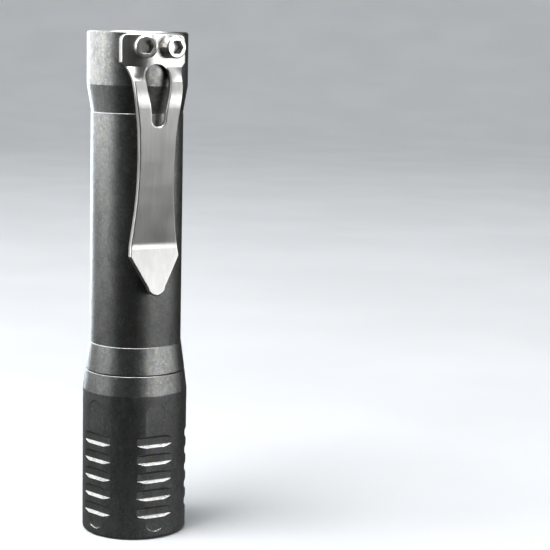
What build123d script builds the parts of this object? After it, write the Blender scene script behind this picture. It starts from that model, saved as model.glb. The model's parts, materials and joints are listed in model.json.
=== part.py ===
from build123d import *
import math
import os

# Pocket flashlight for one AAA-size cell, in millimetres. The light stands on its bezel: the origin is
# the centre of the bezel's face, +Z runs up the light's axis to the tail, and the clip is on the -Y side.

# Head
HEAD_R = 8.25
HEAD_STRAIGHT_TOP = 22.95
HEAD_TOP = 26.05
HEAD_TOP_R = 7.84
HEAD_BORE_R = 6.5
BEZEL_LIP = 1.1
BEZEL_HOLE_R = 5.6
BEZEL_BEVEL = 0.5
BEZEL_EDGE_ROUND = 0.55
EDGE_BREAK = 0.08

# Five columns around the head, each a shallow pocket crossed by a stack of chord-cut slots
COLUMN_COUNT = 5
COLUMN_OFFSET = 4.5
POCKET_WIDTH = 3.3
POCKET_BOTTOM = 1.25
POCKET_TOP = 21.8
# The pockets are so shallow that their flat floors run out through the surface at the sides.
POCKET_DEPTH = 0.16
SLOT_COUNT = 5
SLOT_PITCH = 2.83
SLOT_MIDDLE = 10.03
SLOT_FLOOR_HEIGHT = 1.08
SLOT_DEPTH = 0.54
SLOT_FLANK = 45
CUTTER_REACH = 1.2
CUTTER_LENGTH = 8.0

# Screw thread between head and body
THREAD_PITCH = 1.0
THREAD_CREST_R = 6.95
THREAD_ROOT_R = 6.4
THREAD_ROOT_WIDTH = 0.66
THREAD_CREST_WIDTH = 0.2
THREAD_START = 18.4
THREAD_TURNS = 5
THREAD_FOOT = 0.05
FEMALE_THREAD_R = 7.03
FEMALE_MOUTH_WIDTH = 0.8
FEMALE_FLOOR_WIDTH = 0.36
FEMALE_THREAD_START = 17.4
FEMALE_THREAD_TURNS = 7.4
SEAL_BORE_R = 7.04
SEAL_BORE_BOTTOM = 24.3

# Body
CELL_BORE_R = 5.5
NECK_END = 17.35
NECK_CHAMFER = 0.35
SHOULDER = 26.15
SHOULDER_R = 7.83
FLARE_TOP = 30.4
FLARE_TOP_R = 7.27
TUBE_R = 7.2
TUBE_TOP = 66.6
COLLAR_BOTTOM = 70.8
COLLAR_R = 7.83
TAIL_END = 79.0
TAIL_CHAMFER = 0.25
SWITCH_SEAT = 69.0
SWITCH_BORE_R = 6.1
SEATING_GAP = 0.01
GROOVE_BOTTOM = 24.8
GROOVE_TOP = 25.8
GROOVE_R = 6.08
LAND_BOTTOM = 24.4

# Pocket clip
CLIP_THICKNESS = 1.0
CLIP_PLATE_TOP = 78.6
CLIP_PLATE_BOTTOM = 73.7
CLIP_PLATE_HALF_WIDTH = 5.1
CLIP_CORNER_ROUND = 1.0
CLIP_EDGE_ROUND = 0.2
CLIP_JOIN = 71.6
CLIP_BLANK_HALF_WIDTH = 5.6
SCREW_HEIGHT = 76.7
SCREW_ANGLE = 12.7
SCREW_R = 1.08
SCREW_HOLE_R = 1.1
SCREW_LENGTH = 2.6
SCREW_HEAD_R = 1.7
SCREW_HEAD_HEIGHT = 2.18
SCREW_HEX_FLATS = 1.98
SCREW_HEX_DEPTH = 1.2
SCREW_HEAD_CHAMFER = 0.2

# Optics and electronics in the head
LENS_BOTTOM = 1.8
LENS_TOP = 3.3
LENS_R = 6.42
LENS_CHAMFER = 0.12
LENS_RING_R = 6.05
LENS_RING_SECTION_R = 0.35
REFLECTOR_R = 6.36
REFLECTOR_MOUTH_R = 5.9
REFLECTOR_HOLE_R = 2.0
REFLECTOR_BACK = 11.5
REFLECTOR_BACK_R = 3.2
REFLECTOR_RIM = 4.6
REFLECTOR_SHOULDER = 5.0
REFLECTOR_RIM_CHAMFER = 0.3
REFLECTOR_NECK = 0.7
LED_SIZE = 3.45
LED_FRONT = 11.7
LED_DOME_R = 1.3
LED_BOARD_FRONT = 12.3
LED_BOARD_R = 6.3
CENTRING_R = 2.9
CENTRING_HOLE = 3.55
PILL_FRONT = 13.3
PILL_BACK = 17.3
PILL_R = 6.46
PILL_CAVITY_R = 5.3
PILL_WEB_BACK = 14.9
LEAD_X = 4.0
LEAD_R = 0.3
LEAD_HOLE_R = 0.45
LEAD_FRONT = 12.0
DRIVER_FRONT = 16.5
DRIVER_R = 5.28
CONTACT_R = 1.5
CONTACT_ROUND = 0.2

# Cell, 10.5 by 44.5
CELL_FRONT = 18.5
CELL_BACK = 63.0
CELL_NUB = 1.0
CELL_NUB_R = 2.75
CELL_CAN_R = 5.13
CELL_R = 5.25
CELL_CAP_R = 3.3
CELL_FILM = 0.12
CELL_ROUND = 0.3

# Tail switch
SPRING_R = 4.2
SPRING_WIRE_R = 0.35
SPRING_TURNS = 4
SPRING_END_GAP = 0.05
BOARD_R = 6.08
SWITCH_BASE_BOTTOM = 69.8
SWITCH_BASE_TOP = 70.6
SWITCH_R = 6.02
SWITCH_CAVITY_R = 5.0
SWITCH_CAVITY_TOP = 74.0
SWITCH_TOP = 74.6
PLUNGER_R = 2.0
PLUNGER_HOLE_R = 2.07
PLUNGER_FLANGE_R = 3.0
PLUNGER_FLANGE_BOTTOM = 73.2
PLUNGER_FLANGE_TOP = 73.9
PLUNGER_TOP = 75.6
TERMINAL_X = 4.3
TERMINAL_R = 0.35
TERMINAL_TOP = 71.6
SWITCH_SPRING_R = 2.1
SWITCH_SPRING_WIRE_R = 0.15
SWITCH_SPRING_TURNS = 4
SWITCH_SPRING_END_GAP = 0.02
DISC_INNER_R = 2.6
DISC_OUTER_R = 4.75
DISC_BOTTOM = 72.9
BOOT_TOP = 75.2
BOOT_HAT_R = 2.65
BOOT_HAT_TOP = 76.1
RING_TOP = 77.6
RING_LIP_BOTTOM = 77.05
RING_INNER_R = 5.3
RING_LIP_R = 4.5
RING_NOTCH_WIDTH = 1.1
RING_NOTCH_DEPTH = 0.35
BUTTON_R = 4.43
BUTTON_FLANGE_R = 5.2
BUTTON_FLANGE_BOTTOM = 76.5
BUTTON_FLANGE_TOP = 77.0
BUTTON_HUB_R = 2.4
BUTTON_TOP = 78.25
BUTTON_ROUND = 0.35
BUTTON_DISH_R = 3.3
BUTTON_DISH_DEPTH = 0.25

os.makedirs("parts", exist_ok=True)


def facing(angle, distance, height=0.0):
    """A plane square to a radius. The angle is from the clip's side, positive towards +X."""
    turn = math.radians(angle)
    outward = Vector(math.sin(turn), -math.cos(turn), 0)
    sideways = Vector(math.cos(turn), math.sin(turn), 0)
    return Plane(origin=outward * distance + Vector(0, 0, height), x_dir=sideways, z_dir=outward)


def coil(pitch, turns, radius, start):
    """The helix that a thread's tooth or a spring's wire follows, rising from a height."""
    with BuildLine(mode=Mode.PRIVATE) as path:
        Helix(pitch, pitch * turns, radius, center=(0, 0, start))
    return path.line


def section_plane(path):
    """The plane square to a coil at its start, with x pointing away from the axis."""
    return Plane(path @ 0, x_dir=(1, 0, 0), z_dir=path % 0)


def tooth(depth, foot_width, crest_width):
    """Corners of a thread's tooth, from its foot at x = 0 to its crest."""
    return [
        (0, -foot_width / 2),
        (depth, -crest_width / 2),
        (depth, crest_width / 2),
        (0, foot_width / 2),
    ]


# ---------------------------------------------------------------- head

with BuildPart() as head_shell:
    with BuildSketch(Plane.XZ) as head_section:
        with BuildLine():
            Polyline(
                (BEZEL_HOLE_R + BEZEL_BEVEL, 0),
                (HEAD_R, 0),
                (HEAD_R, HEAD_STRAIGHT_TOP),
                (HEAD_TOP_R, HEAD_TOP - EDGE_BREAK),
                (HEAD_TOP_R - EDGE_BREAK, HEAD_TOP),
                (SEAL_BORE_R + EDGE_BREAK, HEAD_TOP),
                (SEAL_BORE_R, HEAD_TOP - EDGE_BREAK),
                (SEAL_BORE_R, SEAL_BORE_BOTTOM),
                (HEAD_BORE_R, SEAL_BORE_BOTTOM),
                (HEAD_BORE_R, BEZEL_LIP),
                (BEZEL_HOLE_R, BEZEL_LIP),
                (BEZEL_HOLE_R, BEZEL_BEVEL),
                close=True,
            )
        make_face()
        bezel_corner = head_section.vertices().sort_by_distance((HEAD_R, 0))[0]
        fillet(bezel_corner, BEZEL_EDGE_ROUND)
    revolve(axis=Axis.Z)
    for column in range(COLUMN_COUNT):
        angle = COLUMN_OFFSET + column * 360 / COLUMN_COUNT
        middle = (POCKET_BOTTOM + POCKET_TOP) / 2
        with BuildSketch(facing(angle, HEAD_R - POCKET_DEPTH, middle)):
            SlotOverall(POCKET_TOP - POCKET_BOTTOM, POCKET_WIDTH, rotation=90)
        extrude(amount=CUTTER_REACH, mode=Mode.SUBTRACT)
    for column in range(COLUMN_COUNT):
        angle = COLUMN_OFFSET + column * 360 / COLUMN_COUNT
        for slot in range(SLOT_COUNT):
            height = SLOT_MIDDLE + (slot - (SLOT_COUNT - 1) / 2) * SLOT_PITCH
            with BuildSketch(facing(angle, HEAD_R - SLOT_DEPTH, height)):
                Rectangle(CUTTER_LENGTH, SLOT_FLOOR_HEIGHT)
            extrude(amount=CUTTER_REACH, taper=-SLOT_FLANK, mode=Mode.SUBTRACT)
    female_path = coil(
        THREAD_PITCH, FEMALE_THREAD_TURNS, HEAD_BORE_R - THREAD_FOOT, FEMALE_THREAD_START
    )
    with BuildSketch(section_plane(female_path)):
        groove_depth = FEMALE_THREAD_R - HEAD_BORE_R + THREAD_FOOT
        Polygon(*tooth(groove_depth, FEMALE_MOUTH_WIDTH, FEMALE_FLOOR_WIDTH), align=None)
    sweep(path=female_path, is_frenet=True, mode=Mode.SUBTRACT)
head_shell.part.label = "head_shell"
export_step(head_shell.part, "parts/head_shell.step")

with BuildPart() as lens_o_ring:
    with BuildSketch(Plane.XZ):
        with Locations((LENS_RING_R, BEZEL_LIP + LENS_RING_SECTION_R)):
            Circle(LENS_RING_SECTION_R)
    revolve(axis=Axis.Z)
lens_o_ring.part.label = "lens_o_ring"
export_step(lens_o_ring.part, "parts/lens_o_ring.step")

with BuildPart() as front_lens:
    with BuildSketch(Plane.XY.offset(LENS_BOTTOM)):
        Circle(LENS_R)
    extrude(amount=LENS_TOP - LENS_BOTTOM)
    chamfer(front_lens.edges().filter_by(GeomType.CIRCLE), LENS_CHAMFER)
front_lens.part.label = "front_lens"
export_step(front_lens.part, "parts/front_lens.step")

# The reflector's inside is a parabola, r^2 = k (vertex - z), through the mouth and the LED's hole.
reflector_depth = REFLECTOR_BACK - LENS_TOP
parabola_k = (REFLECTOR_MOUTH_R**2 - REFLECTOR_HOLE_R**2) / reflector_depth
tangent_r = (REFLECTOR_MOUTH_R + REFLECTOR_HOLE_R) / 2
tangent_z = REFLECTOR_BACK - REFLECTOR_HOLE_R * (REFLECTOR_MOUTH_R - REFLECTOR_HOLE_R) / parabola_k

with BuildPart() as reflector:
    with BuildSketch(Plane.XZ):
        with BuildLine():
            Bezier(
                (REFLECTOR_HOLE_R, REFLECTOR_BACK),
                (tangent_r, tangent_z),
                (REFLECTOR_MOUTH_R, LENS_TOP),
            )
            Polyline(
                (REFLECTOR_MOUTH_R, LENS_TOP),
                (REFLECTOR_R, LENS_TOP),
                (REFLECTOR_R, REFLECTOR_RIM),
                (REFLECTOR_R - REFLECTOR_RIM_CHAMFER, REFLECTOR_SHOULDER),
                (REFLECTOR_BACK_R, REFLECTOR_BACK - REFLECTOR_NECK),
                (REFLECTOR_BACK_R, REFLECTOR_BACK),
                (REFLECTOR_HOLE_R, REFLECTOR_BACK),
            )
        make_face()
    revolve(axis=Axis.Z)
reflector.part.label = "reflector"
export_step(reflector.part, "parts/reflector.step")

with BuildPart() as led_centring_ring:
    with BuildSketch(Plane.XY.offset(REFLECTOR_BACK)):
        Circle(CENTRING_R)
        Rectangle(CENTRING_HOLE, CENTRING_HOLE, mode=Mode.SUBTRACT)
    extrude(amount=LED_BOARD_FRONT - REFLECTOR_BACK)
led_centring_ring.part.label = "led_centring_ring"
export_step(led_centring_ring.part, "parts/led_centring_ring.step")

with BuildPart() as led_emitter:
    with BuildSketch(Plane.XY.offset(LED_FRONT)):
        Rectangle(LED_SIZE, LED_SIZE)
    extrude(amount=LED_BOARD_FRONT - LED_FRONT)
led_emitter.part.label = "led_emitter"
export_step(led_emitter.part, "parts/led_emitter.step")

with BuildPart() as led_dome:
    with BuildSketch(Plane.XZ):
        with Locations((0, LED_FRONT)):
            Circle(LED_DOME_R)
            Rectangle(2 * LED_DOME_R, LED_DOME_R, align=(Align.CENTER, Align.MIN), mode=Mode.SUBTRACT)
            Rectangle(LED_DOME_R, 2 * LED_DOME_R, align=(Align.MAX, Align.CENTER), mode=Mode.SUBTRACT)
    revolve(axis=Axis.Z)
led_dome.part.label = "led_dome"
export_step(led_dome.part, "parts/led_dome.step")

with BuildPart() as led_board:
    with BuildSketch(Plane.XY.offset(LED_BOARD_FRONT)):
        Circle(LED_BOARD_R)
        with GridLocations(2 * LEAD_X, 0, 2, 1):
            Circle(LEAD_HOLE_R, mode=Mode.SUBTRACT)
    extrude(amount=PILL_FRONT - LED_BOARD_FRONT)
led_board.part.label = "led_board"
export_step(led_board.part, "parts/led_board.step")

with BuildPart() as heat_sink_pill:
    with BuildSketch(Plane.XY.offset(PILL_FRONT)):
        Circle(PILL_R)
    extrude(amount=PILL_BACK - PILL_FRONT)
    with BuildSketch(Plane.XY.offset(PILL_WEB_BACK)):
        Circle(PILL_CAVITY_R)
    extrude(amount=PILL_BACK - PILL_WEB_BACK, mode=Mode.SUBTRACT)
    with BuildSketch(Plane.XY.offset(PILL_FRONT)):
        with GridLocations(2 * LEAD_X, 0, 2, 1):
            Circle(LEAD_HOLE_R)
    extrude(amount=PILL_WEB_BACK - PILL_FRONT, mode=Mode.SUBTRACT)
heat_sink_pill.part.label = "heat_sink_pill"
export_step(heat_sink_pill.part, "parts/heat_sink_pill.step")

with BuildPart() as led_leads:
    with BuildSketch(Plane.XY.offset(LEAD_FRONT)):
        with GridLocations(2 * LEAD_X, 0, 2, 1):
            Circle(LEAD_R)
    extrude(amount=DRIVER_FRONT - LEAD_FRONT)
led_leads.part.label = "led_leads"
export_step(led_leads.part, "parts/led_leads.step")

with BuildPart() as driver_board:
    with BuildSketch(Plane.XY.offset(DRIVER_FRONT)):
        Circle(DRIVER_R)
    extrude(amount=PILL_BACK - DRIVER_FRONT)
driver_board.part.label = "driver_board"
export_step(driver_board.part, "parts/driver_board.step")

# On the driver's front face: the control chip, the inductor and four small capacitors.
CHIP_SIZE = 3.0
CHIP_HEIGHT = 0.9
CHIP_Y = 2.0
INDUCTOR_SIZE = 2.5
INDUCTOR_HEIGHT = 1.2
INDUCTOR_ROUND = 0.5
INDUCTOR_Y = -2.2
CAPACITOR_LENGTH = 1.6
CAPACITOR_WIDTH = 0.8
CAPACITOR_SPAN_X = 5.6
CAPACITOR_SPAN_Y = 4.4

with BuildPart() as driver_components:
    with BuildSketch(Plane.XY.offset(DRIVER_FRONT)):
        with Locations((0, CHIP_Y)):
            Rectangle(CHIP_SIZE, CHIP_SIZE)
    extrude(amount=-CHIP_HEIGHT)
    with BuildSketch(Plane.XY.offset(DRIVER_FRONT)):
        with Locations((0, INDUCTOR_Y)):
            RectangleRounded(INDUCTOR_SIZE, INDUCTOR_SIZE, INDUCTOR_ROUND)
    extrude(amount=-INDUCTOR_HEIGHT)
    with BuildSketch(Plane.XY.offset(DRIVER_FRONT)):
        with GridLocations(CAPACITOR_SPAN_X, CAPACITOR_SPAN_Y, 2, 2):
            Rectangle(CAPACITOR_WIDTH, CAPACITOR_LENGTH)
    extrude(amount=-CAPACITOR_WIDTH)
driver_components.part.label = "driver_components"
export_step(driver_components.part, "parts/driver_components.step")

with BuildPart() as driver_contact:
    with BuildSketch(Plane.XY.offset(PILL_BACK)):
        Circle(CONTACT_R)
    extrude(amount=CELL_FRONT - PILL_BACK)
    fillet(driver_contact.faces().sort_by(Axis.Z)[-1].edges(), CONTACT_ROUND)
driver_contact.part.label = "driver_contact"
export_step(driver_contact.part, "parts/driver_contact.step")

# ---------------------------------------------------------------- cell

CAN_FRONT = CELL_FRONT + CELL_NUB

with BuildPart() as cell_can:
    with BuildSketch(Plane.XY.offset(CAN_FRONT)):
        Circle(CELL_CAN_R)
    extrude(amount=CELL_BACK - CAN_FRONT)
    fillet(cell_can.edges().filter_by(GeomType.CIRCLE), CELL_ROUND)
cell_can.part.label = "cell_can"
export_step(cell_can.part, "parts/cell_can.step")

with BuildPart() as cell_wrap:
    with BuildSketch(Plane.XY.offset(CAN_FRONT)):
        Circle(CELL_R)
        Circle(CELL_CAN_R, mode=Mode.SUBTRACT)
    extrude(amount=CELL_BACK - CAN_FRONT - CELL_FILM)
cell_wrap.part.label = "cell_wrap"
export_step(cell_wrap.part, "parts/cell_wrap.step")

with BuildPart() as cell_positive_cap:
    with BuildSketch(Plane.XY.offset(CELL_FRONT)):
        Circle(CELL_NUB_R)
    extrude(amount=CELL_NUB)
    fillet(cell_positive_cap.faces().sort_by(Axis.Z)[0].edges(), CELL_ROUND)
cell_positive_cap.part.label = "cell_positive_cap"
export_step(cell_positive_cap.part, "parts/cell_positive_cap.step")

with BuildPart() as cell_insulator_ring:
    with BuildSketch(Plane.XY.offset(CAN_FRONT)):
        Circle(CELL_CAN_R)
        Circle(CELL_CAP_R, mode=Mode.SUBTRACT)
    extrude(amount=-CELL_FILM)
cell_insulator_ring.part.label = "cell_insulator_ring"
export_step(cell_insulator_ring.part, "parts/cell_insulator_ring.step")

# ---------------------------------------------------------------- body

with BuildPart() as body_tube:
    with BuildSketch(Plane.XZ):
        with BuildLine():
            Polyline(
                (CELL_BORE_R, NECK_END),
                (THREAD_ROOT_R - NECK_CHAMFER, NECK_END),
                (THREAD_ROOT_R, NECK_END + NECK_CHAMFER),
                (THREAD_ROOT_R, LAND_BOTTOM),
                (THREAD_CREST_R, LAND_BOTTOM),
                (THREAD_CREST_R, GROOVE_BOTTOM),
                (GROOVE_R, GROOVE_BOTTOM),
                (GROOVE_R, GROOVE_TOP),
                (THREAD_CREST_R, GROOVE_TOP),
                (THREAD_CREST_R, SHOULDER),
                (SHOULDER_R - EDGE_BREAK, SHOULDER),
                (SHOULDER_R, SHOULDER + EDGE_BREAK),
                (FLARE_TOP_R, FLARE_TOP),
                (TUBE_R, FLARE_TOP + EDGE_BREAK),
                (TUBE_R, TUBE_TOP - EDGE_BREAK),
                (TUBE_R - EDGE_BREAK, TUBE_TOP),
                (COLLAR_R, COLLAR_BOTTOM),
                (COLLAR_R, TAIL_END - TAIL_CHAMFER),
                (COLLAR_R - TAIL_CHAMFER, TAIL_END),
                (SWITCH_BORE_R + TAIL_CHAMFER, TAIL_END),
                (SWITCH_BORE_R, TAIL_END - TAIL_CHAMFER),
                (SWITCH_BORE_R, SWITCH_SEAT),
                (CELL_BORE_R, SWITCH_SEAT),
                close=True,
            )
        make_face()
    revolve(axis=Axis.Z)
    for side in (-1, 1):
        with BuildSketch(facing(side * SCREW_ANGLE, CELL_BORE_R, SCREW_HEIGHT)):
            Circle(SCREW_HOLE_R)
        extrude(amount=COLLAR_R, mode=Mode.SUBTRACT)
    male_path = coil(THREAD_PITCH, THREAD_TURNS, THREAD_ROOT_R - THREAD_FOOT, THREAD_START)
    with BuildSketch(section_plane(male_path)):
        ridge_depth = THREAD_CREST_R - THREAD_ROOT_R + THREAD_FOOT
        Polygon(*tooth(ridge_depth, THREAD_ROOT_WIDTH, THREAD_CREST_WIDTH), align=None)
    sweep(path=male_path, is_frenet=True)
body_tube.part.label = "body_tube"
export_step(body_tube.part, "parts/body_tube.step")

ring_section_r = (THREAD_CREST_R + SEATING_GAP - GROOVE_R) / 2

with BuildPart() as neck_o_ring:
    with BuildSketch(Plane.XZ):
        with Locations((GROOVE_R + ring_section_r, (GROOVE_BOTTOM + GROOVE_TOP) / 2)):
            Circle(ring_section_r)
    revolve(axis=Axis.Z)
neck_o_ring.part.label = "neck_o_ring"
export_step(neck_o_ring.part, "parts/neck_o_ring.step")

# ---------------------------------------------------------------- clip

# The arm's centreline in the plane x = 0, as (distance from the axis, height), from the plate down.
ARM_LINE = [
    (COLLAR_R + CLIP_THICKNESS / 2, CLIP_PLATE_BOTTOM),
    (9.61, 69.5),
    (7.72, 46.6),
    (9.4, 38.6),
]
ARM_BENDS = [10.0, 4.0]

# Right half of the clip's outline, seen square on, as (half width, height). It is mirrored.
SHOULDER_CUT = 0.6
ARM_EDGE = [
    (3.98, 72.0),
    (3.78, 70.2),
    (3.55, 68.3),
    (3.1, 65.0),
    (2.88, 61.5),
    (2.82, 58.0),
    (2.92, 54.6),
    (3.22, 51.0),
    (3.62, 47.6),
]
CORNER = (3.95, 44.95)
TIP_SIDE = (1.45, 40.3)
TIP_MIDDLE = (0.92, 39.35)
TIP_END = (0, 39.0)

# Teardrop hole: a round lobe that narrows to a round foot.
LOBE_R = 1.95
LOBE_HEIGHT = 72.15
FOOT_R = 1.1
FOOT_HEIGHT = 65.9

arm_points = [(-radius, height) for radius, height in ARM_LINE]
slope_x = ARM_LINE[1][0] - ARM_LINE[0][0]
slope_z = ARM_LINE[0][1] - ARM_LINE[1][1]
join_radius = ARM_LINE[0][0] + slope_x * (CLIP_PLATE_BOTTOM - CLIP_JOIN) / slope_z
level_thickness = CLIP_THICKNESS * math.hypot(slope_x, slope_z) / slope_z
plate_inner_r = COLLAR_R + SEATING_GAP
plate_outer_r = COLLAR_R + CLIP_THICKNESS
plate_arc = math.degrees(math.asin(CLIP_BLANK_HALF_WIDTH / plate_outer_r))
shoulder_top = (CLIP_PLATE_HALF_WIDTH, CLIP_PLATE_BOTTOM + SHOULDER_CUT)
shoulder_end = (CLIP_PLATE_HALF_WIDTH - SHOULDER_CUT, CLIP_PLATE_BOTTOM)
plate_corner = (CLIP_PLATE_HALF_WIDTH, CLIP_PLATE_TOP)

with BuildPart() as pocket_clip:
    with BuildSketch(Plane.YZ.offset(-CLIP_BLANK_HALF_WIDTH)):
        with BuildLine() as arm_line:
            FilletPolyline(*arm_points, radius=ARM_BENDS)
        trace(arm_line.line, line_width=CLIP_THICKNESS)
        with Locations((-ARM_LINE[0][0], CLIP_JOIN)):
            Rectangle(TAIL_END, TAIL_END, align=(Align.CENTER, Align.MIN), mode=Mode.SUBTRACT)
    extrude(amount=2 * CLIP_BLANK_HALF_WIDTH)
    # Between the flat arm and the curved plate the strip rolls from one section to the other.
    with BuildSketch(Plane.XY.offset(CLIP_JOIN)):
        with Locations((0, -join_radius)):
            Rectangle(2 * CLIP_BLANK_HALF_WIDTH, level_thickness)
    with BuildSketch(Plane.XY.offset(CLIP_PLATE_BOTTOM)):
        with BuildLine():
            inner_arc = CenterArc((0, 0), plate_inner_r, -90 - plate_arc, 2 * plate_arc)
            outer_arc = CenterArc((0, 0), plate_outer_r, -90 - plate_arc, 2 * plate_arc)
            Line(inner_arc @ 0, outer_arc @ 0)
            Line(inner_arc @ 1, outer_arc @ 1)
        make_face()
    loft()
    with BuildSketch(Plane.XY.offset(CLIP_PLATE_BOTTOM)):
        Circle(plate_outer_r)
        Circle(plate_inner_r, mode=Mode.SUBTRACT)
        Rectangle(TAIL_END, TAIL_END, align=(Align.CENTER, Align.MIN), mode=Mode.SUBTRACT)
    extrude(amount=CLIP_PLATE_TOP - CLIP_PLATE_BOTTOM)
    with BuildSketch(Plane.XZ) as outline:
        with BuildLine():
            Polyline((0, CLIP_PLATE_TOP), plate_corner, shoulder_top, shoulder_end)
            Spline(shoulder_end, *ARM_EDGE, CORNER)
            Line(CORNER, TIP_SIDE)
            ThreePointArc(TIP_SIDE, TIP_MIDDLE, TIP_END)
            Line(TIP_END, (0, CLIP_PLATE_TOP))
        make_face()
        top_corner = outline.vertices().sort_by_distance(plate_corner)[0]
        fillet(top_corner, CLIP_CORNER_ROUND)
        mirror(about=Plane.YZ)
        with BuildLine():
            CenterArc((0, FOOT_HEIGHT), FOOT_R, 180, 180)
            CenterArc((0, LOBE_HEIGHT), LOBE_R, 0, 180)
            for side in (-1, 1):
                Spline(
                    (side * FOOT_R, FOOT_HEIGHT),
                    (side * LOBE_R, LOBE_HEIGHT),
                    tangents=[(0, 1), (0, 1)],
                )
        make_face(mode=Mode.SUBTRACT)
    extrude(amount=TAIL_END, mode=Mode.INTERSECT)
    outer_faces = pocket_clip.faces().filter_by(lambda face: face.normal_at().Y < -0.5)
    outer_edges = [edge for face in outer_faces for edge in face.edges()]
    # The hole's top stays sharp, where it runs from the arm onto the plate.
    hole_top = Vector(0, -plate_outer_r, LOBE_HEIGHT + LOBE_R)
    rim = [
        edge
        for edge in outer_edges
        if outer_edges.count(edge) == 1 and edge.distance_to(hole_top) > SEATING_GAP
    ]
    fillet(rim, CLIP_EDGE_ROUND)
    for side in (-1, 1):
        with BuildSketch(facing(side * SCREW_ANGLE, SWITCH_BORE_R, SCREW_HEIGHT)):
            Circle(SCREW_HOLE_R)
        extrude(amount=COLLAR_R, mode=Mode.SUBTRACT)
pocket_clip.part.label = "pocket_clip"
export_step(pocket_clip.part, "parts/pocket_clip.step")

with BuildPart() as clip_screws:
    for side in (-1, 1):
        with BuildSketch(facing(side * SCREW_ANGLE, plate_outer_r, SCREW_HEIGHT)):
            Circle(SCREW_HEAD_R)
        extrude(amount=SCREW_HEAD_HEIGHT)
        with BuildSketch(facing(side * SCREW_ANGLE, plate_outer_r, SCREW_HEIGHT)):
            Circle(SCREW_R)
        extrude(amount=-SCREW_LENGTH)
    rings = clip_screws.edges().filter_by(GeomType.CIRCLE)
    outer_rims = rings.sort_by(lambda edge: edge.center().Y)[:2]
    chamfer(outer_rims, SCREW_HEAD_CHAMFER)
    for side in (-1, 1):
        with BuildSketch(facing(side * SCREW_ANGLE, plate_outer_r + SCREW_HEAD_HEIGHT, SCREW_HEIGHT)):
            RegularPolygon(SCREW_HEX_FLATS / 2, 6, major_radius=False)
        extrude(amount=-SCREW_HEX_DEPTH, mode=Mode.SUBTRACT)
clip_screws.part.label = "clip_screws"
export_step(clip_screws.part, "parts/clip_screws.step")

# ---------------------------------------------------------------- tail switch

with BuildPart() as tail_spring:
    end_room = SPRING_WIRE_R + SPRING_END_GAP
    coil_height = SWITCH_SEAT - CELL_BACK - 2 * end_room
    spring_path = coil(coil_height / SPRING_TURNS, SPRING_TURNS, SPRING_R, CELL_BACK + end_room)
    with BuildSketch(section_plane(spring_path)):
        Circle(SPRING_WIRE_R)
    sweep(path=spring_path, is_frenet=True)
tail_spring.part.label = "tail_spring"
export_step(tail_spring.part, "parts/tail_spring.step")

with BuildPart() as tail_contact_board:
    with BuildSketch(Plane.XY.offset(SWITCH_SEAT)):
        Circle(BOARD_R)
    extrude(amount=SWITCH_BASE_BOTTOM - SWITCH_SEAT)
tail_contact_board.part.label = "tail_contact_board"
export_step(tail_contact_board.part, "parts/tail_contact_board.step")

with BuildPart() as switch_base:
    with BuildSketch(Plane.XY.offset(SWITCH_BASE_BOTTOM)):
        Circle(SWITCH_R)
        with GridLocations(2 * TERMINAL_X, 0, 2, 1):
            Circle(TERMINAL_R, mode=Mode.SUBTRACT)
    extrude(amount=SWITCH_BASE_TOP - SWITCH_BASE_BOTTOM)
switch_base.part.label = "switch_base"
export_step(switch_base.part, "parts/switch_base.step")

with BuildPart() as switch_terminals:
    with BuildSketch(Plane.XY.offset(SWITCH_BASE_BOTTOM)):
        with GridLocations(2 * TERMINAL_X, 0, 2, 1):
            Circle(TERMINAL_R)
    extrude(amount=TERMINAL_TOP - SWITCH_BASE_BOTTOM)
switch_terminals.part.label = "switch_terminals"
export_step(switch_terminals.part, "parts/switch_terminals.step")

with BuildPart() as switch_housing:
    with BuildSketch(Plane.XY.offset(SWITCH_BASE_TOP)):
        Circle(SWITCH_R)
    extrude(amount=SWITCH_TOP - SWITCH_BASE_TOP)
    with BuildSketch(Plane.XY.offset(SWITCH_BASE_TOP)):
        Circle(SWITCH_CAVITY_R)
    extrude(amount=SWITCH_CAVITY_TOP - SWITCH_BASE_TOP, mode=Mode.SUBTRACT)
    with BuildSketch(Plane.XY.offset(SWITCH_CAVITY_TOP)):
        Circle(PLUNGER_HOLE_R)
    extrude(amount=SWITCH_TOP - SWITCH_CAVITY_TOP, mode=Mode.SUBTRACT)
switch_housing.part.label = "switch_housing"
export_step(switch_housing.part, "parts/switch_housing.step")

with BuildPart() as switch_spring:
    wire_room = SWITCH_SPRING_WIRE_R + SWITCH_SPRING_END_GAP
    switch_coil_height = PLUNGER_FLANGE_BOTTOM - SWITCH_BASE_TOP - 2 * wire_room
    switch_spring_path = coil(
        switch_coil_height / SWITCH_SPRING_TURNS,
        SWITCH_SPRING_TURNS,
        SWITCH_SPRING_R,
        SWITCH_BASE_TOP + wire_room,
    )
    with BuildSketch(section_plane(switch_spring_path)):
        Circle(SWITCH_SPRING_WIRE_R)
    sweep(path=switch_spring_path, is_frenet=True)
switch_spring.part.label = "switch_spring"
export_step(switch_spring.part, "parts/switch_spring.step")

with BuildPart() as switch_plunger:
    with BuildSketch(Plane.XY.offset(PLUNGER_FLANGE_BOTTOM)):
        Circle(PLUNGER_FLANGE_R)
    extrude(amount=PLUNGER_FLANGE_TOP - PLUNGER_FLANGE_BOTTOM)
    with BuildSketch(Plane.XY.offset(PLUNGER_FLANGE_TOP)):
        Circle(PLUNGER_R)
    extrude(amount=PLUNGER_TOP - PLUNGER_FLANGE_TOP)
switch_plunger.part.label = "switch_plunger"
export_step(switch_plunger.part, "parts/switch_plunger.step")

with BuildPart() as switch_contact_disc:
    with BuildSketch(Plane.XY.offset(DISC_BOTTOM)):
        Circle(DISC_OUTER_R)
        Circle(DISC_INNER_R, mode=Mode.SUBTRACT)
    extrude(amount=PLUNGER_FLANGE_BOTTOM - DISC_BOTTOM)
switch_contact_disc.part.label = "switch_contact_disc"
export_step(switch_contact_disc.part, "parts/switch_contact_disc.step")

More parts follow.
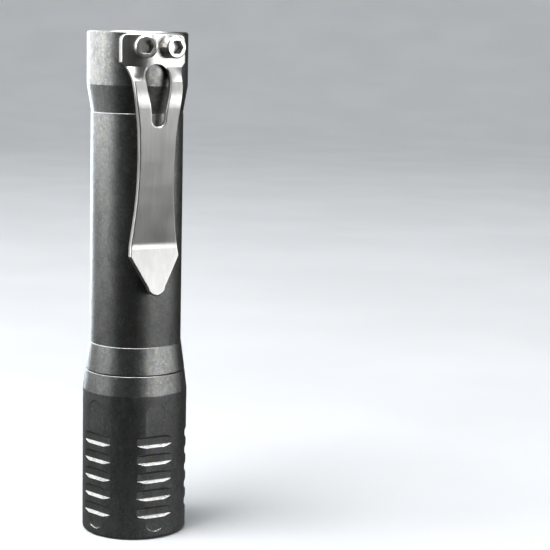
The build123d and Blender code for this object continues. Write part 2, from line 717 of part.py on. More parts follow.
with BuildPart() as tail_boot:
    with BuildSketch(Plane.XZ):
        with BuildLine():
            Polyline(
                (PLUNGER_HOLE_R, SWITCH_TOP),
                (BOARD_R, SWITCH_TOP),
                (BOARD_R, BOOT_TOP),
                (BOOT_HAT_R, BOOT_TOP),
                (BOOT_HAT_R, BOOT_HAT_TOP),
                (0, BOOT_HAT_TOP),
                (0, PLUNGER_TOP),
                (PLUNGER_HOLE_R, PLUNGER_TOP),
                close=True,
            )
        make_face()
    revolve(axis=Axis.Z)
tail_boot.part.label = "tail_boot"
export_step(tail_boot.part, "parts/tail_boot.step")

with BuildPart() as tail_retaining_ring:
    with BuildSketch(Plane.XZ):
        with BuildLine():
            Polyline(
                (RING_INNER_R, BOOT_TOP),
                (BOARD_R, BOOT_TOP),
                (BOARD_R, RING_TOP),
                (RING_LIP_R, RING_TOP),
                (RING_LIP_R, RING_LIP_BOTTOM),
                (RING_INNER_R, RING_LIP_BOTTOM),
                close=True,
            )
        make_face()
    revolve(axis=Axis.Z)
    with BuildSketch(Plane.XY.offset(RING_TOP)):
        Rectangle(4 * RING_INNER_R, RING_NOTCH_WIDTH)
    extrude(amount=-RING_NOTCH_DEPTH, mode=Mode.SUBTRACT)
tail_retaining_ring.part.label = "tail_retaining_ring"
export_step(tail_retaining_ring.part, "parts/tail_retaining_ring.step")

dish_sphere_r = (BUTTON_DISH_R**2 + BUTTON_DISH_DEPTH**2) / (2 * BUTTON_DISH_DEPTH)

with BuildPart() as tail_button:
    with BuildSketch(Plane.XZ) as button_section:
        with BuildLine():
            Polyline(
                (0, BOOT_HAT_TOP),
                (BUTTON_HUB_R, BOOT_HAT_TOP),
                (BUTTON_HUB_R, BUTTON_FLANGE_BOTTOM),
                (BUTTON_FLANGE_R, BUTTON_FLANGE_BOTTOM),
                (BUTTON_FLANGE_R, BUTTON_FLANGE_TOP),
                (BUTTON_R, BUTTON_FLANGE_TOP),
                (BUTTON_R, BUTTON_TOP),
                (0, BUTTON_TOP),
                close=True,
            )
        make_face()
        button_corner = button_section.vertices().sort_by_distance((BUTTON_R, BUTTON_TOP))[0]
        fillet(button_corner, BUTTON_ROUND)
    revolve(axis=Axis.Z)
    with Locations((0, 0, BUTTON_TOP - BUTTON_DISH_DEPTH + dish_sphere_r)):
        Sphere(dish_sphere_r, mode=Mode.SUBTRACT)
tail_button.part.label = "tail_button"
export_step(tail_button.part, "parts/tail_button.step")
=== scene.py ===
"""Pocket flashlight on a pale floor: materials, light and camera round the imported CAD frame."""

import json
import math

import bmesh
import bpy
from mathutils import Matrix, Vector


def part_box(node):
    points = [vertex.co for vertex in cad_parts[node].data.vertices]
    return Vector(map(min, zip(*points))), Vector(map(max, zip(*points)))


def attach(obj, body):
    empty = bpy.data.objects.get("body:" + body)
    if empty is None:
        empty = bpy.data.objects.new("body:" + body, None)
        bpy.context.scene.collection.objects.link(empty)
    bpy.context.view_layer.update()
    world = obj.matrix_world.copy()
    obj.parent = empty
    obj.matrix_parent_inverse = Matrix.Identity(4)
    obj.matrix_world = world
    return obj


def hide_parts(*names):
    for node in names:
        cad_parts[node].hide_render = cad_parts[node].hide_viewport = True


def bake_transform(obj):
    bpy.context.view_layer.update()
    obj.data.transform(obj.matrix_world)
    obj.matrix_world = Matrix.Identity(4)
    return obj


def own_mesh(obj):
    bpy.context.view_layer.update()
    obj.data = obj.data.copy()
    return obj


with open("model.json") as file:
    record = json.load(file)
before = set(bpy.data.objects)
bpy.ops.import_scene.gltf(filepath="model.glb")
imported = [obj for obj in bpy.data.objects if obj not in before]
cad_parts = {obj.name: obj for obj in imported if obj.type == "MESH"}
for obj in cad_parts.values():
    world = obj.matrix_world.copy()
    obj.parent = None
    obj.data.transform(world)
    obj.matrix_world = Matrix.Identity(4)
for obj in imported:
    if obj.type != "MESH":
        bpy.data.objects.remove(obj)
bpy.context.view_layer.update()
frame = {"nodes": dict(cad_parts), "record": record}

MM = 0.001

# ---------------------------------------------------------------- camera

VIEW_AZIMUTH = math.radians(19.6)
CAMERA_DISTANCE = 245.3 * MM
CAMERA_HEIGHT = 77.7 * MM
CAMERA_TILT = math.radians(8.46)
CAMERA_YAW = math.radians(5.15)
CAMERA_ROLL = math.radians(1.25)
LENS_MM = 102.24
SENSOR_MM = 36.0


def make_camera():
    """The camera looks past the object's right side, tilted down and rolled a little."""
    up = Vector((0, 0, 1))
    ahead = Vector((math.sin(VIEW_AZIMUTH), math.cos(VIEW_AZIMUTH), 0))
    across = ahead.cross(up)
    level = ahead * math.cos(CAMERA_YAW) + across * math.sin(CAMERA_YAW)
    across = level.cross(up)
    sight = level * math.cos(CAMERA_TILT) - up * math.sin(CAMERA_TILT)
    top = across.cross(sight)
    right = across * math.cos(CAMERA_ROLL) + top * math.sin(CAMERA_ROLL)
    top = right.cross(sight)
    data = bpy.data.cameras.new("camera")
    data.lens = LENS_MM
    data.sensor_width = SENSOR_MM
    data.clip_start = 10 * MM
    camera = bpy.data.objects.new("camera", data)
    camera.matrix_world = Matrix((right, top, -sight)).transposed().to_4x4()
    camera.location = -ahead * CAMERA_DISTANCE + up * CAMERA_HEIGHT
    bpy.context.scene.collection.objects.link(camera)
    bpy.context.scene.camera = camera


# ---------------------------------------------------------------- node helper

# Where a pit's floor ends and its rim starts, in shares of a cell
PIT_FLOOR = 0.10
PIT_RIM = 0.32
# The noise values at a scratch's edge and at its middle
SCRATCH_EDGE = 0.66
SCRATCH_MIDDLE = 0.72
# How far the rounded normal agrees with the flat one on an edge, and off it
EDGE_TURNED = 0.88
EDGE_FLAT = 0.999
BEVEL_SAMPLES = 6


class Surface:
    """One procedural material. Its textures lie in the object's own metres, so they ride with it."""

    def __init__(self, name, **inputs):
        self.material = bpy.data.materials.new(name)
        self.material.use_nodes = True
        self.tree = self.material.node_tree
        self.shader = self.tree.nodes["Principled BSDF"]
        self.place = self.node("ShaderNodeTexCoord").outputs["Object"]
        for socket, value in inputs.items():
            self.set(socket.replace("_", " "), value)

    def node(self, kind, **settings):
        made = self.tree.nodes.new(kind)
        for key, value in settings.items():
            setattr(made, key, value)
        return made

    def feed(self, socket, value):
        """Links an output to a socket, or sets the socket's own value."""
        if isinstance(value, bpy.types.NodeSocket):
            self.tree.links.new(value, socket)
        else:
            socket.default_value = value

    def set(self, socket, value):
        if isinstance(value, tuple):
            value = (*value, 1.0)
        self.feed(self.shader.inputs[socket], value)

    def math(self, operation, a, b=0.0):
        made = self.node("ShaderNodeMath", operation=operation)
        self.feed(made.inputs[0], a)
        self.feed(made.inputs[1], b)
        return made.outputs[0]

    def scaled_place(self, size, turn=(0, 0, 0)):
        """The place in units of size, which is one length or three, turned first."""
        sizes = size if isinstance(size, tuple) else (size,) * 3
        turned = self.node("ShaderNodeMapping", vector_type="POINT")
        self.feed(turned.inputs["Vector"], self.place)
        turned.inputs["Rotation"].default_value = turn
        scaled = self.node("ShaderNodeMapping", vector_type="POINT")
        self.feed(scaled.inputs["Vector"], turned.outputs[0])
        scaled.inputs["Scale"].default_value = [1 / s for s in sizes]
        return scaled.outputs[0]

    def noise(self, size, detail=3.0, turn=(0, 0, 0)):
        """Noise from 0 to 1 with features about size across."""
        made = self.node("ShaderNodeTexNoise")
        self.feed(made.inputs["Vector"], self.scaled_place(size, turn))
        made.inputs["Scale"].default_value = 1.0
        made.inputs["Detail"].default_value = detail
        return made.outputs["Fac"]

    def pits(self, size, share):
        """1 inside small round pits, on a share of the cells, and 0 between them."""
        made = self.node("ShaderNodeTexVoronoi")
        self.feed(made.inputs["Vector"], self.scaled_place(size))
        made.inputs["Scale"].default_value = 1.0
        near = self.remap(made.outputs["Distance"], PIT_FLOOR, PIT_RIM, 1.0, 0.0)
        chosen = self.node("ShaderNodeSeparateColor")
        self.feed(chosen.inputs[0], made.outputs["Color"])
        kept = self.math("LESS_THAN", chosen.outputs[0], share)
        return self.math("MULTIPLY", near, kept)

    def scratches(self, length, width, turn):
        """1 on thin straight scratches that run one way, and 0 between them."""
        lines = self.noise((width, width, length), detail=1.0, turn=turn)
        return self.remap(lines, SCRATCH_EDGE, SCRATCH_MIDDLE, 0.0, 1.0)

    def remap(self, value, low, high, to_low, to_high):
        """Value eased from the range low to high into the range to_low to to_high."""
        made = self.node("ShaderNodeMapRange", interpolation_type="SMOOTHSTEP")
        for socket, number in zip(made.inputs, (value, low, high, to_low, to_high)):
            self.feed(socket, number)
        return made.outputs[0]

    def mix(self, share, first, second):
        """The first colour, or the second where share is 1."""
        made = self.node("ShaderNodeMix", data_type="RGBA")
        self.feed(made.inputs["Factor"], share)
        for socket, value in ((made.inputs[6], first), (made.inputs[7], second)):
            self.feed(socket, (*value, 1.0) if isinstance(value, tuple) else value)
        return made.outputs[2]

    def rounded(self, radius):
        """The normal with edges rounded by radius, and 1 on the edges that it rounds."""
        bevel = self.node("ShaderNodeBevel", samples=BEVEL_SAMPLES)
        bevel.inputs["Radius"].default_value = radius
        plain = self.node("ShaderNodeNewGeometry")
        turn = self.node("ShaderNodeVectorMath", operation="DOT_PRODUCT")
        self.feed(turn.inputs[0], bevel.outputs[0])
        self.feed(turn.inputs[1], plain.outputs["Normal"])
        edge = self.remap(turn.outputs["Value"], EDGE_TURNED, EDGE_FLAT, 1.0, 0.0)
        return bevel.outputs[0], edge

    def bump(self, height, depth, normal=None):
        """Raises the surface by depth metres where height is 1."""
        made = self.node("ShaderNodeBump")
        made.inputs["Strength"].default_value = 1.0
        made.inputs["Distance"].default_value = depth
        self.feed(made.inputs["Height"], height)
        if normal is not None:
            self.feed(made.inputs["Normal"], normal)
        return made.outputs[0]


# ---------------------------------------------------------------- metals

SCRATCH_TURNS = ((0.9, 0.3, 0.0), (-0.7, 0.5, 0.4), (0.2, -1.2, 0.8))


def tumbled(name, colour, dull, warm, roughness):
    """Stonewashed titanium: soft mottling, small pits, crossing scratches, and edges lightened in colour,
    a painted highlight that also stands for wear.
    """
    s = Surface(name, Metallic=1.0)
    normal, edge = s.rounded(0.09 * MM)
    cloud = s.noise((1.6 * MM, 1.6 * MM, 2.4 * MM), detail=6.0)
    streak = s.noise((0.5 * MM, 0.5 * MM, 0.75 * MM), detail=5.0)
    fleck = s.noise(0.32 * MM, detail=4.0)
    grain = s.noise(0.1 * MM, detail=2.0)
    pit = s.pits(0.8 * MM, 0.3)
    scratch = s.scratches(2.6 * MM, 0.05 * MM, SCRATCH_TURNS[0])
    for turn in SCRATCH_TURNS[1:]:
        scratch = s.math("MAXIMUM", scratch, s.scratches(2.0 * MM, 0.04 * MM, turn))
    bright = tuple(min(1.0, c * 1.5) for c in colour)
    base = s.mix(s.remap(cloud, 0.3, 0.72, 0.0, 1.0), dull, colour)
    base = s.mix(s.remap(streak, 0.45, 0.65, 0.0, 0.8), base, warm)
    base = s.mix(s.remap(fleck, 0.54, 0.7, 0.0, 0.65), base, bright)
    base = s.mix(s.remap(fleck, 0.44, 0.3, 0.0, 0.4), base, tuple(c * 0.7 for c in dull))
    # Pits darkened in colour: painted shade in the pits.
    base = s.mix(s.math("MULTIPLY", pit, 0.3), base, tuple(c * 0.5 for c in dull))
    base = s.mix(s.math("MULTIPLY", scratch, 0.35), base, bright)
    # Edges lightened in colour: a painted highlight along the rounded edges, partly edge wear.
    base = s.mix(s.math("MULTIPLY", edge, 0.75), base, bright)
    s.set("Base Color", base)
    rough = s.remap(streak, 0.3, 0.7, roughness + 0.04, roughness - 0.05)
    rough = s.math("SUBTRACT", rough, s.math("MULTIPLY", edge, 0.12))
    s.set("Roughness", rough)
    height = s.math("SUBTRACT", s.math("MULTIPLY", grain, 0.3), pit)
    height = s.math("SUBTRACT", height, s.math("MULTIPLY", scratch, 0.4))
    height = s.math("ADD", height, s.math("MULTIPLY", fleck, 0.8))
    s.set("Normal", s.bump(height, 0.004 * MM, normal))
    return s.material


def brushed(name, colour, dark, roughness, length, width):
    """Sheet metal brushed lengthwise, with lines of two widths, and edges lightened in colour as a
    painted highlight that also stands for wear.
    """
    s = Surface(name, Metallic=1.0)
    normal, edge = s.rounded(0.12 * MM)
    line = s.noise((width, width, length), detail=2.0)
    band = s.noise((width * 3, width * 3, length), detail=2.0)
    cloud = s.noise(2.4 * MM, detail=2.0)
    bright = tuple(min(1.0, c * 1.2) for c in colour)
    base = s.mix(s.remap(line, 0.3, 0.7, 0.0, 1.0), dark, colour)
    base = s.mix(s.remap(band, 0.35, 0.7, 0.0, 0.6), base, tuple(c * 0.92 for c in dark))
    # Edges lightened in colour: a painted highlight along the rounded edges, partly edge wear.
    base = s.mix(s.math("MULTIPLY", edge, 0.6), base, bright)
    s.set("Base Color", base)
    s.set("Roughness", s.remap(cloud, 0.3, 0.7, roughness - 0.02, roughness + 0.03))
    s.set("Normal", normal)
    return s.material


def plated(name, colour, tint, roughness, grain_size):
    """Smooth drawn, plated or polished metal with faint tarnish and fine handling marks."""
    s = Surface(name, Metallic=1.0)
    normal, edge = s.rounded(0.08 * MM)
    tarnish = s.noise(1.6 * MM, detail=4.0)
    grain = s.noise(grain_size, detail=3.0)
    mark = s.scratches(1.6 * MM, 0.04 * MM, SCRATCH_TURNS[1])
    base = s.mix(s.remap(tarnish, 0.4, 0.75, 0.0, 0.6), colour, tint)
    # Edges lightened in colour: a painted highlight along the rounded edges, partly edge wear.
    base = s.mix(s.math("MULTIPLY", edge, 0.5), base, tuple(min(1, c * 1.15) for c in colour))
    s.set("Base Color", base)
    rough = s.remap(grain, 0.3, 0.7, roughness - 0.03, roughness + 0.05)
    s.set("Roughness", s.math("ADD", rough, s.math("MULTIPLY", mark, 0.12)))
    s.set("Normal", s.bump(s.math("SUBTRACT", grain, mark), 0.0015 * MM, normal))
    return s.material


# ---------------------------------------------------------------- other materials


def moulded(name, colour, shade, roughness):
    """Moulded plastic with a fine spark-eroded grain."""
    s = Surface(name, Specular_IOR_Level=0.45)
    normal, edge = s.rounded(0.1 * MM)
    grain = s.noise(0.09 * MM, detail=2.0)
    flow = s.noise(2.5 * MM, detail=3.0)
    base = s.mix(s.remap(flow, 0.35, 0.7, 0.0, 0.5), colour, shade)
    # Edges lightened in colour: a painted highlight along the rounded edges.
    s.set("Base Color", s.mix(s.math("MULTIPLY", edge, 0.25), base, tuple(c * 1.3 for c in colour)))
    s.set("Roughness", s.remap(grain, 0.3, 0.7, roughness - 0.06, roughness + 0.08))
    s.set("Normal", s.bump(grain, 0.004 * MM, normal))
    return s.material


def rubber(name, colour, dust):
    """Matt silicone with a powdery bloom."""
    s = Surface(name, Specular_IOR_Level=0.35)
    bloom = s.noise(1.1 * MM, detail=5.0)
    grain = s.noise(0.06 * MM, detail=2.0)
    s.set("Base Color", s.mix(s.remap(bloom, 0.45, 0.75, 0.0, 0.5), colour, dust))
    s.set("Roughness", s.remap(bloom, 0.3, 0.7, 0.55, 0.8))
    s.set("Normal", s.bump(grain, 0.003 * MM))
    return s.material


def circuit_board(name):
    """Green solder mask over faint copper tracks."""
    s = Surface(name, Specular_IOR_Level=0.5, Roughness=0.32)
    cells = s.node("ShaderNodeTexVoronoi", feature="F1", distance="CHEBYCHEV")
    s.feed(cells.inputs["Vector"], s.scaled_place(1.3 * MM))
    cells.inputs["Scale"].default_value = 1.0
    track = s.remap(cells.outputs["Distance"], 0.36, 0.42, 0.0, 1.0)
    weave = s.noise(0.25 * MM, detail=2.0)
    base = s.mix(track, (0.01, 0.11, 0.045), (0.03, 0.22, 0.08))
    s.set("Base Color", s.mix(s.remap(weave, 0.4, 0.7, 0.0, 0.3), base, (0.01, 0.07, 0.03)))
    s.set("Normal", s.bump(track, 0.03 * MM))
    return s.material


def glass(name, tint, coating):
    """Clear glass with a thin anti-glare coat and a few dust specks."""
    s = Surface(name, Metallic=0.0, Transmission_Weight=1.0, IOR=1.5, Coat_Weight=0.3)
    s.set("Coat Tint", coating)
    dust = s.pits(0.8 * MM, 0.1)
    smear = s.noise(3.0 * MM, detail=3.0)
    s.set("Base Color", s.mix(s.math("MULTIPLY", dust, 0.2), tint, (0.8, 0.8, 0.78)))
    rough = s.remap(smear, 0.4, 0.7, 0.0, 0.03)
    s.set("Roughness", s.math("ADD", rough, s.math("MULTIPLY", dust, 0.2)))
    return s.material


def mirror(name):
    """Vapour-deposited aluminium with the faint orange peel of its lacquer."""
    s = Surface(name, Metallic=1.0)
    peel = s.noise(0.5 * MM, detail=2.0)
    haze = s.noise(2.0 * MM, detail=3.0)
    s.set("Base Color", s.mix(haze, (0.88, 0.88, 0.87), (0.93, 0.93, 0.92)))
    s.set("Roughness", s.remap(haze, 0.3, 0.7, 0.05, 0.1))
    s.set("Normal", s.bump(peel, 0.012 * MM))
    return s.material


PHOSPHOR_HALF = 0.29
PHOSPHOR_FADE = 1.05
SLEEVE_BAND = 0.28


def emitter(name):
    """A yellow phosphor square in the middle of a white ceramic base."""
    low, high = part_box("led_emitter")
    middle = (low + high) / 2
    s = Surface(name, Specular_IOR_Level=0.4)
    apart = s.node("ShaderNodeSeparateXYZ")
    s.feed(apart.inputs[0], s.place)
    off_x = s.math("ABSOLUTE", s.math("SUBTRACT", apart.outputs["X"], middle.x))
    off_y = s.math("ABSOLUTE", s.math("SUBTRACT", apart.outputs["Y"], middle.y))
    half = (high.x - low.x) * PHOSPHOR_HALF
    inside = s.remap(s.math("MAXIMUM", off_x, off_y), half, half * PHOSPHOR_FADE, 1.0, 0.0)
    grain = s.noise(0.05 * MM, detail=3.0)
    phosphor = s.mix(grain, (0.75, 0.52, 0.03), (0.86, 0.68, 0.08))
    ceramic = s.mix(grain, (0.72, 0.71, 0.68), (0.84, 0.83, 0.81))
    s.set("Base Color", s.mix(inside, ceramic, phosphor))
    s.set("Roughness", s.remap(grain, 0.3, 0.7, 0.5, 0.68))
    s.set("Normal", s.bump(s.math("ADD", grain, inside), 0.004 * MM))
    return s.material


def sleeve(name):
    """The cell's shrink sleeve: charcoal, with a copper-coloured band at the positive end."""
    low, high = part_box("cell_wrap")
    s = Surface(name, Coat_Weight=0.5, Coat_Roughness=0.12)
    apart = s.node("ShaderNodeSeparateXYZ")
    s.feed(apart.inputs[0], s.place)
    band_top = low.z + (high.z - low.z) * SLEEVE_BAND
    band = s.math("LESS_THAN", apart.outputs["Z"], band_top)
    flow = s.noise((0.8 * MM, 0.8 * MM, 6 * MM), detail=3.0)
    charcoal = s.mix(flow, (0.012, 0.013, 0.015), (0.03, 0.03, 0.034))
    copper = s.mix(flow, (0.46, 0.2, 0.08), (0.6, 0.29, 0.13))
    s.set("Base Color", s.mix(band, charcoal, copper))
    s.set("Roughness", s.remap(flow, 0.3, 0.7, 0.25, 0.38))
    s.set("Normal", s.bump(flow, 0.01 * MM))
    return s.material


TITANIUM = ((0.225, 0.228, 0.228), (0.155, 0.158, 0.159), (0.255, 0.24, 0.205))
BUTTON_TITANIUM = ((0.34, 0.335, 0.325), (0.26, 0.26, 0.255), (0.34, 0.31, 0.26))
CLIP_STEEL = ((0.585, 0.58, 0.56), (0.53, 0.525, 0.505))

MATERIALS = {
    "head_metal": tumbled("head_metal", *TITANIUM, 0.39),
    "tube_metal": tumbled("tube_metal", *TITANIUM, 0.38),
    "clip_metal": brushed("clip_metal", *CLIP_STEEL, 0.34, 24 * MM, 0.34 * MM),
    "screw_steel": plated("screw_steel", (0.7, 0.69, 0.67), (0.62, 0.57, 0.5), 0.3, 0.15 * MM),
    "ring_metal": tumbled("ring_metal", (0.26, 0.26, 0.255), (0.2, 0.201, 0.2), (0.27, 0.25, 0.21), 0.38),
    "button_metal": tumbled("button_metal", *BUTTON_TITANIUM, 0.34),
    "spring_steel": plated("spring_steel", (0.72, 0.66, 0.52), (0.6, 0.52, 0.38), 0.2, 0.1 * MM),
    "cell_steel": plated("cell_steel", (0.66, 0.66, 0.66), (0.55, 0.54, 0.53), 0.24, 0.12 * MM),
    "cell_sleeve": sleeve("cell_sleeve"),
    "brass": plated("brass", (0.78, 0.58, 0.26), (0.6, 0.42, 0.18), 0.26, 0.14 * MM),
    "copper": plated("copper", (0.78, 0.42, 0.27), (0.58, 0.28, 0.16), 0.28, 0.14 * MM),
    "board_green": circuit_board("board_green"),
    "black_plastic": moulded("black_plastic", (0.02, 0.02, 0.022), (0.032, 0.032, 0.034), 0.45),
    "white_plastic": moulded("white_plastic", (0.72, 0.71, 0.68), (0.64, 0.63, 0.6), 0.42),
    "wire_insulation": moulded("wire_insulation", (0.42, 0.03, 0.02), (0.34, 0.02, 0.015), 0.4),
    "seal_rubber": rubber("seal_rubber", (0.016, 0.016, 0.017), (0.05, 0.05, 0.052)),
    "led_phosphor": emitter("led_phosphor"),
    "reflector_mirror": mirror("reflector_mirror"),
    "lens_glass": glass("lens_glass", (0.97, 0.985, 0.98), (0.86, 0.9, 1.0)),
}


def dress_nodes():
    """Gives each CAD node the finish that the record names for it."""
    for part in frame["record"]["subparts"]:
        for slot in frame["nodes"][part["node"]].material_slots:
            slot.material = MATERIALS[part["material_slot"]]


# ---------------------------------------------------------------- mesh helpers

RING_STEPS = 96
CORNER_ANGLE = math.radians(40)


def add_mesh(name, points, faces, material):
    """A mesh object, smooth but for its real corners. A closed one has its faces turned outwards."""
    mesh = bpy.data.meshes.new(name)
    mesh.from_pydata(points, [], faces)
    shape = bmesh.new()
    shape.from_mesh(mesh)
    bmesh.ops.recalc_face_normals(shape, faces=shape.faces)
    shape.to_mesh(mesh)
    shape.free()
    mesh.polygons.foreach_set("use_smooth", [True] * len(mesh.polygons))
    mesh.set_sharp_from_angle(angle=CORNER_ANGLE)
    mesh.materials.append(material)
    piece = bpy.data.objects.new(name, mesh)
    bpy.context.scene.collection.objects.link(piece)
    return piece


def strip(first, second):
    """The faces between two rows of points, where a row is one point or a whole ring."""
    if len(first) == 1:
        return [(first[0], a, b) for a, b in zip(second, second[1:] + second[:1])]
    if len(second) == 1:
        return [(a, b, second[0]) for a, b in zip(first, first[1:] + first[:1])]
    pairs = zip(first, first[1:] + first[:1], second, second[1:] + second[:1])
    return [(a, b, d, c) for a, b, c, d in pairs]


def turned(name, profile, material):
    """A surface of revolution about Z, from (radius, height) points."""
    points = []
    rows = []
    for radius, height in profile:
        steps = RING_STEPS if radius > 0 else 1
        rows.append(list(range(len(points), len(points) + steps)))
        for step in range(steps):
            angle = math.tau * step / RING_STEPS
            points.append((radius * math.cos(angle), radius * math.sin(angle), height))
    faces = [face for pair in zip(rows, rows[1:]) for face in strip(*pair)]
    return add_mesh(name, points, faces, material)


# ---------------------------------------------------------------- the spring and the boot, which flex on the real flashlight

SPRING_TURNS = 4
SPRING_STEPS = 56
WIRE_STEPS = 12
WIRE_R = 0.15 * MM

BOOT_CLEARANCE = 0.02 * MM
BOOT_STEM_R = 2.0 * MM
BOOT_FOOT_R = 3.0 * MM
BOOT_CAP_R = 2.5 * MM
BOOT_WALL = 0.36 * MM


def press_travel():
    """How far the tail button goes in."""
    joint = next(j for j in frame["record"]["behaviour"]["joints"] if j["name"] == "button_press")
    return max(abs(limit) for limit in joint["range_m"])


def make_switch_spring():
    """The switch's return spring under the plunger's flange, coiled in round wire in place of the CAD
    spring; the coil is built at rest, though the real spring flattens as the button goes in.
    """
    low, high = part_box("switch_spring")
    coil_r = (high.x - low.x) / 2 - WIRE_R
    rise = high.z - low.z - 2 * WIRE_R
    slope = math.atan2(rise / SPRING_TURNS, math.tau * coil_r)
    count = SPRING_TURNS * SPRING_STEPS
    points = []
    rows = []
    for step in range(count + 1):
        angle = math.tau * step / SPRING_STEPS
        out = Vector((math.cos(angle), math.sin(angle), 0))
        level = Vector((-math.sin(angle), math.cos(angle), 0))
        along = level * math.cos(slope) + Vector((0, 0, math.sin(slope)))
        middle = out * coil_r + Vector((0, 0, low.z + WIRE_R + rise * step / count))
        rows.append(list(range(len(points), len(points) + WIRE_STEPS)))
        for corner in range(WIRE_STEPS):
            turn = math.tau * corner / WIRE_STEPS
            points.append(middle + (out * math.cos(turn) + along.cross(out) * math.sin(turn)) * WIRE_R)
    faces = [face for pair in zip(rows, rows[1:]) for face in strip(*pair)]
    faces += [tuple(rows[0]), tuple(rows[-1])]
    spring = add_mesh("return_spring", points, faces, MATERIALS["spring_steel"])
    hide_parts("switch_spring")
    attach(spring, "body")
    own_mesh(spring)


def make_boot():
    """The silicone boot: a clamped rim, a rolling wall and a cap that the button pushes in."""
    low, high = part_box("tail_boot")
    rim_r = high.x
    rim_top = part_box("tail_retaining_ring")[0].z - BOOT_CLEARANCE
    bottom = low.z + BOOT_CLEARANCE
    cap_top = high.z - BOOT_CLEARANCE
    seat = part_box("switch_plunger")[1].z + BOOT_CLEARANCE
    roll_end = low.z + press_travel() + BOOT_CLEARANCE
    profile = [
        (0, seat),
        (BOOT_STEM_R, seat),
        (BOOT_STEM_R + BOOT_WALL / 3, roll_end),
        (BOOT_CAP_R, roll_end),
        (BOOT_FOOT_R, bottom),
        (rim_r, bottom),
        (rim_r, rim_top),
        (BOOT_FOOT_R + BOOT_WALL, rim_top),
        (BOOT_CAP_R + BOOT_WALL, roll_end + BOOT_WALL / 2),
        (BOOT_CAP_R + BOOT_WALL, cap_top),
        (0, cap_top),
    ]
    boot = turned("rubber_boot", profile, MATERIALS["seal_rubber"])
    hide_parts("tail_boot")
    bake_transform(boot)


# ---------------------------------------------------------------- stage

FLOOR_FLAT_R = 0.9
FLOOR_SWEEP_R = 0.9
WALL_TOP = 2.2
TENT_R = 0.62
SWEEP_STEPS = 16


def floor_material():
    """Pale matt board with a faint tooth."""
    s = Surface("pale_board", Specular_IOR_Level=0.0)
    tooth = s.noise(0.7 * MM, detail=4.0)
    cloud = s.noise(60 * MM, detail=2.0)
    base = s.mix(s.remap(cloud, 0.35, 0.7, 0.0, 1.0), (0.66, 0.67, 0.68), (0.69, 0.7, 0.71))
    s.set("Base Color", base)
    s.set("Roughness", s.remap(tooth, 0.3, 0.7, 0.6, 0.75))
    s.set("Normal", s.bump(tooth, 0.02 * MM))
    return s.material


def make_floor():
    """A floor that sweeps up into a wall all the way round."""
    profile = [(0, 0), (FLOOR_FLAT_R / 2, 0), (FLOOR_FLAT_R, 0)]
    for step in range(1, SWEEP_STEPS + 1):
        angle = math.pi / 2 * step / SWEEP_STEPS
        out = FLOOR_FLAT_R + FLOOR_SWEEP_R * math.sin(angle)
        profile.append((out, FLOOR_SWEEP_R * (1 - math.cos(angle))))
    profile.append((FLOOR_FLAT_R + FLOOR_SWEEP_R, WALL_TOP))
    turned("floor", profile, floor_material())


def glow(name, colour, near, far, reach):
    """A card whose glow falls from near, beside the object's foot, to far, at reach from its axis."""
    material = bpy.data.materials.new(name)
    material.use_nodes = True
    nodes = material.node_tree.nodes
    links = material.node_tree.links
    nodes.clear()
    place = nodes.new("ShaderNodeTexCoord")
    away = nodes.new("ShaderNodeVectorMath")
    away.operation = "LENGTH"
    links.new(place.outputs["Object"], away.inputs[0])
    fall = nodes.new("ShaderNodeMapRange")
    fall.inputs["From Min"].default_value = FLAG_NEAR_R
    fall.inputs["From Max"].default_value = reach
    fall.inputs["To Min"].default_value = near
    fall.inputs["To Max"].default_value = far
    links.new(away.outputs["Value"], fall.inputs["Value"])
    light = nodes.new("ShaderNodeEmission")
    light.inputs["Color"].default_value = (*colour, 1.0)
    links.new(fall.outputs[0], light.inputs["Strength"])
    out = nodes.new("ShaderNodeOutputMaterial")
    links.new(light.outputs[0], out.inputs["Surface"])
    return material


def only_reflected(piece):
    """The piece is a dark card that shows in reflections, and neither blocks nor gives other light."""
    piece.visible_camera = False
    piece.visible_diffuse = False
    piece.visible_shadow = False
    piece.visible_transmission = False
    piece.visible_volume_scatter = False


TENT_GLOW = 0.01
FLAG_NEAR_GLOW = 0.13
FLAG_FAR_GLOW = 0.01
FLAG_FADE_R = 75 * MM
FLAG_LIFT = 0.02 * MM
FLAG_NEAR_R = 10 * MM


def make_tent():
    """Dark cards all round and on the floor, as a photographer hangs round polished metal."""
    dome = [(0, TENT_R)]
    for step in range(1, SWEEP_STEPS + 1):
        angle = math.pi / 2 * step / SWEEP_STEPS
        dome.append((TENT_R * math.sin(angle), TENT_R * math.cos(angle)))
    card = glow("tent_card", (0.9, 0.97, 1.0), TENT_GLOW, TENT_GLOW, TENT_R)
    only_reflected(turned("dark_tent", dome, card))
    flag = [(0, FLAG_LIFT), (TENT_R, FLAG_LIFT)]
    card = glow("floor_card", (0.92, 0.97, 1.0), FLAG_NEAR_GLOW, FLAG_FAR_GLOW, FLAG_FADE_R)
    only_reflected(turned("floor_flag", flag, card))


WATTS_PER_RADIANCE = 4 * math.pi
SHEEN_HEIGHT = 0.5 * MM


def add_light(name, size, place, target, radiance, colour, on_metal=True):
    """A rectangular light that shows only in glossy metal, or one that falls only on matt surfaces."""
    data = bpy.data.lights.new(name, "AREA")
    data.shape = "RECTANGLE"
    data.size, data.size_y = size
    data.energy = radiance * WATTS_PER_RADIANCE * size[0] * size[1]
    data.color = colour
    light = bpy.data.objects.new(name, data)
    light.location = place
    light.rotation_euler = (target - place).to_track_quat("-Z", "Y").to_euler()
    # A light straight overhead is square to the camera.
    if target.xy == place.xy:
        light.rotation_euler.z = -VIEW_AZIMUTH
    light.visible_camera = False
    light.visible_diffuse = not on_metal
    light.visible_glossy = on_metal
    bpy.context.scene.collection.objects.link(light)
    return light


def around(azimuth, distance, height):
    """A place by its azimuth from the camera's side, with plus to the right."""
    turn = VIEW_AZIMUTH - math.radians(azimuth)
    return Vector((-math.sin(turn) * distance, -math.cos(turn) * distance, height))


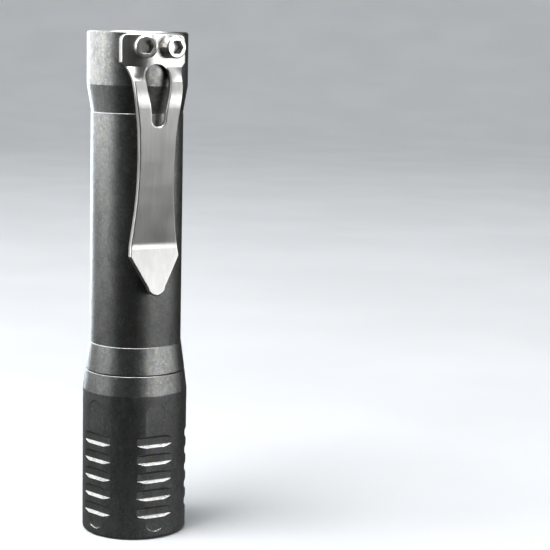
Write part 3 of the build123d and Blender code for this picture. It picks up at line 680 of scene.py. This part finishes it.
def add_softbox(name, azimuth, distance, low, high, width, radiance, colour):
    """An upright softbox that faces the object, from one height to another."""
    place = around(azimuth, distance, (low + high) / 2)
    add_light(name, (width, high - low), place, Vector((0, 0, place.z)), radiance, colour)


def add_sheen(name, azimuth, near, far, width, radiance, colour):
    """A low strip along the floor, which stands for the sheen of the table in the metal's sides."""
    place = around(azimuth, (near + far) / 2, SHEEN_HEIGHT)
    turn = math.atan2(place.y, place.x)
    light = add_light(name, (far - near, width), place, place + Vector((0, 0, 1)), radiance, colour)
    light.rotation_euler = (math.pi, 0, turn)


DAYLIGHT = (0.97, 0.985, 1.0)
LEFT_LIGHT = (0.96, 0.985, 1.0)
RIM_LIGHT = (0.84, 0.93, 1.0)
LEFT_AZIMUTH = -100
RIM_AZIMUTH = -150
RIGHT_AZIMUTH = 67
FLOOR_LIGHT_AZIMUTH = -60


def make_lights():
    """Lengths are in metres. Radiance and colour come last."""
    add_softbox("left_box", LEFT_AZIMUTH, 0.26, 0.055, 0.36, 0.42, 1.25, LEFT_LIGHT)
    add_softbox("rim_box", RIM_AZIMUTH, 0.30, 0.0, 0.30, 0.08, 1.9, RIM_LIGHT)
    add_softbox("right_box", RIGHT_AZIMUTH, 0.36, 0.04, 0.13, 0.60, 1.28, DAYLIGHT)
    add_softbox("right_high_box", RIGHT_AZIMUTH, 0.36, 0.24, 0.42, 0.50, 0.4, DAYLIGHT)
    above = around(0, 0.05, 0.52)
    add_light("top_box", (0.5, 0.24), above, Vector((above.x, above.y, 0)), 6.0, DAYLIGHT)
    add_sheen("rim_sheen", RIM_AZIMUTH, 0.15, 0.46, 0.09, 1.2, RIM_LIGHT)
    add_sheen("left_sheen", LEFT_AZIMUTH, 0.14, 0.34, 0.30, 0.12, DAYLIGHT)
    floor_place = around(FLOOR_LIGHT_AZIMUTH, 0.35, 0.6)
    add_light("floor_light", (0.5, 0.5), floor_place, Vector(), 2.2, DAYLIGHT, on_metal=False)


SKY_COLOUR = (0.96, 0.98, 1.0)
SKY_STRENGTH = 0.85


def make_world():
    world = bpy.data.worlds.new("world")
    world.use_nodes = True
    sky = world.node_tree.nodes["Background"]
    sky.inputs["Color"].default_value = (*SKY_COLOUR, 1.0)
    sky.inputs["Strength"].default_value = SKY_STRENGTH
    bpy.context.scene.world = world
    bpy.context.scene.view_settings.view_transform = "Standard"


make_camera()
dress_nodes()
make_switch_spring()
make_boot()
make_floor()
make_tent()
make_lights()
make_world()
